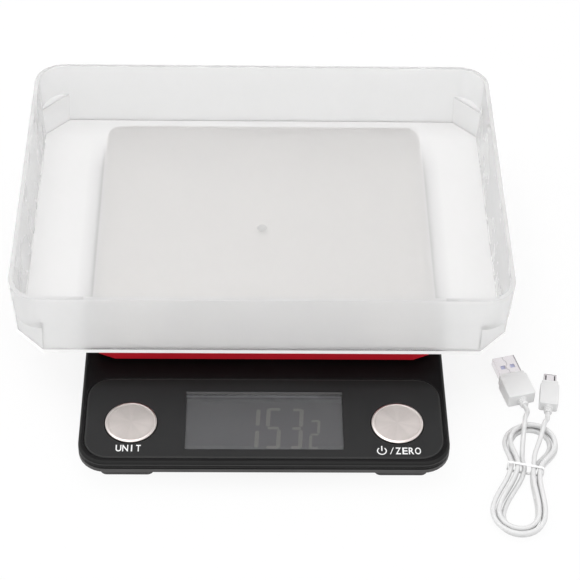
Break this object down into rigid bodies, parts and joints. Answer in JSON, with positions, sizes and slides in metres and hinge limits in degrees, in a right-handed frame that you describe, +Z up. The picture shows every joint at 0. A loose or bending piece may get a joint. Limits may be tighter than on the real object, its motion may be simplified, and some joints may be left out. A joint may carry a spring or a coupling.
{
  "type": "kitchen_scale",
  "caption": "Digital kitchen scale with a black housing, red platform, steel weighing plate, clear tray, metal buttons and a wound USB charging cable",
  "frame": {"origin": "On the table, in the middle of the box round the housing and the tray", "axes": "+X to the user's right, -Y towards the user and the control panel, +Z up"},
  "size_m": [0.2821, 0.2752, 0.0738],
  "materials": {
    "black_plastic": "fine spark-eroded texture",
    "panel_grey": "satin dark grey",
    "foot_rubber": "matt",
    "screw_steel": "zinc plated",
    "display_window": "clear grey window",
    "lcd": "grey display glass",
    "white_plastic": "white",
    "strip_rubber": "conductive rubber strip",
    "board_green": "solder mask",
    "chip_black": "black",
    "plated_metal": "nickel plated",
    "foil": "laminated foil pouch",
    "lead_red": "wire insulation",
    "cell_aluminium": "machined",
    "bracket_steel": "zinc plated sheet",
    "red_plastic": "satin red",
    "brushed_plate": "brushed stainless steel",
    "clear_plastic": "frosted clear",
    "button_metal": "spun face with a bright turned edge",
    "cable_white": "soft white sheath",
    "tie_white": "white band"
  },
  "bodies": {
    "housing": {"lower_housing": "black_plastic", "upper_housing": "black_plastic", "rubber_feet": "foot_rubber", "housing_screws": "screw_steel", "control_panel": "panel_grey", "display_lens": "display_window", "lcd_glass": "lcd", "lcd_backlight": "white_plastic", "lcd_contact_strips": "strip_rubber", "main_board": "board_green", "board_chips": "chip_black", "board_screws": "screw_steel", "key_switches": "chip_black", "usb_socket": "plated_metal", "battery": "foil", "battery_lead": "lead_red", "load_cell": "cell_aluminium", "load_cell_lead": "white_plastic", "load_cell_screws": "screw_steel", "usb_a_overmould": "cable_white", "usb_a_shell": "plated_metal", "usb_a_tongue": "white_plastic", "micro_usb_overmould": "cable_white", "micro_usb_shell": "plated_metal", "cable_hank": "cable_white", "cable_tie": "tie_white"},
    "platform": {"load_bracket": "bracket_steel", "bracket_screws": "screw_steel", "platform_carrier": "red_plastic", "carrier_screws": "screw_steel", "steel_plate": "brushed_plate"},
    "unit_button": {"unit_button_cap": "button_metal", "unit_button_stem": "black_plastic", "unit_switch_plunger": "chip_black"},
    "zero_button": {"zero_button_cap": "button_metal", "zero_button_stem": "black_plastic", "zero_switch_plunger": "chip_black"},
    "tray_body": {"tray": "clear_plastic"}
  },
  "joints": [
    {"name": "platform_slide", "type": "slide", "parent": "housing", "child": "platform", "axis": [0, 0, -1], "range_m": [0, 0.00025], "stiffness_N_per_m": 6000, "springref_m": -0.002},
    {"name": "unit_press", "type": "slide", "parent": "housing", "child": "unit_button", "axis": [0, 0, -1], "range_m": [0, 0.0006], "stiffness_N_per_m": 1200, "springref_m": -0.0003},
    {"name": "zero_press", "type": "slide", "parent": "housing", "child": "zero_button", "axis": [0, 0, -1], "range_m": [0, 0.0006], "stiffness_N_per_m": 1200, "springref_m": -0.0003},
    {"name": "tray_lift", "type": "slide", "parent": "platform", "child": "tray_body", "axis": [0, 0, 1], "range_m": [0, 0.06]}
  ]
}
